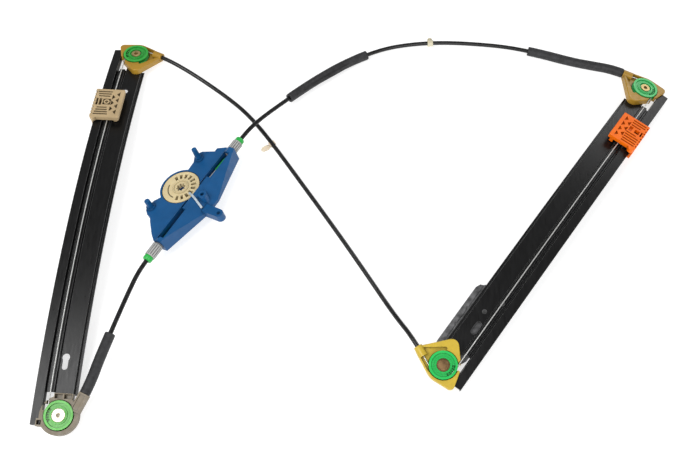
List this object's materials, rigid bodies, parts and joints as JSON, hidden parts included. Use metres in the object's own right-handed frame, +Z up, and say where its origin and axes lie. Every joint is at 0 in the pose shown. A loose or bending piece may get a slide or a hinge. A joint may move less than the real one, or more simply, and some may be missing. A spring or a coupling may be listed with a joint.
{
  "type": "window regulator",
  "caption": "Cable driven vehicle window regulator: two curved rails with sliders and pulleys, a cable drum in a moulded housing, and conduits between them.",
  "frame": {"origin": "on the surface it lies on, under the middle of the box of everything but the conduits and what is on them", "axes": "+X from the left rail to the right rail, +Y towards the rails' top ends, +Z up out of the rails' convex sides"},
  "size_m": [0.8485, 0.6115, 0.0476],
  "materials": {
    "rail_black": "black electrophoretic paint",
    "bracket_grey": "dark grey zinc phosphate",
    "bare_steel": "bright steel wire and pressed pieces",
    "rivet_brass": "yellow passivated hollow rivets",
    "pulley_green": "bright green acetal",
    "housing_ochre": "ochre moulding",
    "housing_yellow": "mustard moulding",
    "housing_taupe": "taupe moulding",
    "slider_beige": "beige moulding",
    "slider_orange": "orange moulding",
    "housing_blue": "blue moulding",
    "drum_cream": "cream moulding",
    "strap_white": "translucent transport strap",
    "ferrule_grey": "grey fluted moulding",
    "cap_green": "green caps and guide tubes",
    "conduit_black": "black extruded conduit",
    "foam_black": "dark foam sleeves",
    "clip_cream": "cream clips"
  },
  "bodies": {
    "regulator_frame": {"left_rail": "rail_black", "right_rail": "rail_black", "right_rail_bracket": "bracket_grey", "bracket_clinch_rivets": "bare_steel", "left_top_pulley_housing": "housing_ochre", "left_bottom_pulley_housing": "housing_taupe", "right_top_pulley_housing": "housing_ochre", "right_bottom_pulley_housing": "housing_yellow", "left_top_pulley_rivet": "rivet_brass", "left_bottom_pulley_rivet": "rivet_brass", "right_top_pulley_rivet": "rivet_brass", "right_bottom_pulley_rivet": "rivet_brass", "left_rail_cable": "bare_steel", "right_rail_cable": "bare_steel", "drum_housing": "housing_blue", "drum_transport_strap": "strap_white", "upper_drum_cable": "bare_steel", "upper_cable_sleeve": "cap_green", "upper_ferrule": "ferrule_grey", "upper_ferrule_cap": "cap_green", "lower_drum_cable": "bare_steel", "lower_cable_sleeve": "cap_green", "lower_ferrule": "ferrule_grey", "lower_ferrule_cap": "cap_green", "drum_to_right_top_conduit": "conduit_black", "left_top_to_right_bottom_conduit": "conduit_black", "drum_to_left_bottom_conduit": "conduit_black", "drum_side_foam_sleeve": "foam_black", "right_top_foam_sleeve": "foam_black", "left_bottom_foam_sleeve": "foam_black", "conduit_ring_clip": "clip_cream", "conduit_edge_clip": "clip_cream"},
    "left_slider_body": {"left_slider": "slider_beige", "left_cable_nipple": "bare_steel"},
    "right_slider_body": {"right_slider": "slider_orange", "right_cable_nipple": "bare_steel"},
    "drum_body": {"cable_drum": "drum_cream", "drum_wire_turns": "bare_steel"},
    "left_top_pulley_body": {"left_top_pulley": "pulley_green"},
    "left_bottom_pulley_body": {"left_bottom_pulley": "pulley_green"},
    "right_top_pulley_body": {"right_top_pulley": "pulley_green"},
    "right_bottom_pulley_body": {"right_bottom_pulley": "pulley_green"}
  },
  "joints": [
    {"name": "left_slider_travel", "type": "hinge", "parent": "regulator_frame", "child": "left_slider_body", "pos_m": [-0.37129, 0.00106, -1.36455], "axis": [0.998, -0.0628, 0], "range_deg": [-0.82, 14.73]},
    {"name": "right_slider_travel", "type": "hinge", "parent": "regulator_frame", "child": "right_slider_body", "pos_m": [0.13689, 0.07182, -1.35893], "axis": [0.8018, -0.5912, -0.0872], "range_deg": [-0.82, 14.73]},
    {"name": "drum_spin", "type": "hinge", "parent": "regulator_frame", "child": "drum_body", "pos_m": [-0.2665, 0.0416, 0.0255], "axis": [-0.237, 0.1407, 0.9613], "range_deg": [-46, 810]},
    {"name": "left_top_pulley_spin", "type": "hinge", "parent": "regulator_frame", "child": "left_top_pulley_body", "pos_m": [-0.35409, 0.27452, 0.00837], "axis": [0.0123, 0.1953, 0.9807], "range_deg": [-78, 1382]},
    {"name": "left_bottom_pulley_spin", "type": "hinge", "parent": "regulator_frame", "child": "left_bottom_pulley_body", "pos_m": [-0.3885, -0.2724, 0.00837], "axis": [-0.0123, -0.1953, 0.9807], "range_deg": [-78, 1382]},
    {"name": "right_top_pulley_spin", "type": "hinge", "parent": "regulator_frame", "child": "right_top_pulley_body", "pos_m": [0.38827, 0.21075, 0.01129], "axis": [0.1796, 0.0992, 0.9787], "range_deg": [-1382, 78]},
    {"name": "right_bottom_pulley_spin", "type": "hinge", "parent": "regulator_frame", "child": "right_bottom_pulley_body", "pos_m": [0.0785, -0.2094, 0.01129], "axis": [-0.0417, -0.2009, 0.9787], "range_deg": [-1382, 78]}
  ],
  "couplings": [
    {"joint": "right_slider_travel", "follows": "left_slider_travel", "ratio": 1},
    {"joint": "drum_spin", "follows": "left_slider_travel", "ratio": 54.941},
    {"joint": "left_top_pulley_spin", "follows": "left_slider_travel", "ratio": 93.767},
    {"joint": "left_bottom_pulley_spin", "follows": "left_slider_travel", "ratio": 93.767},
    {"joint": "right_top_pulley_spin", "follows": "left_slider_travel", "ratio": -93.767},
    {"joint": "right_bottom_pulley_spin", "follows": "left_slider_travel", "ratio": -93.767}
  ]
}
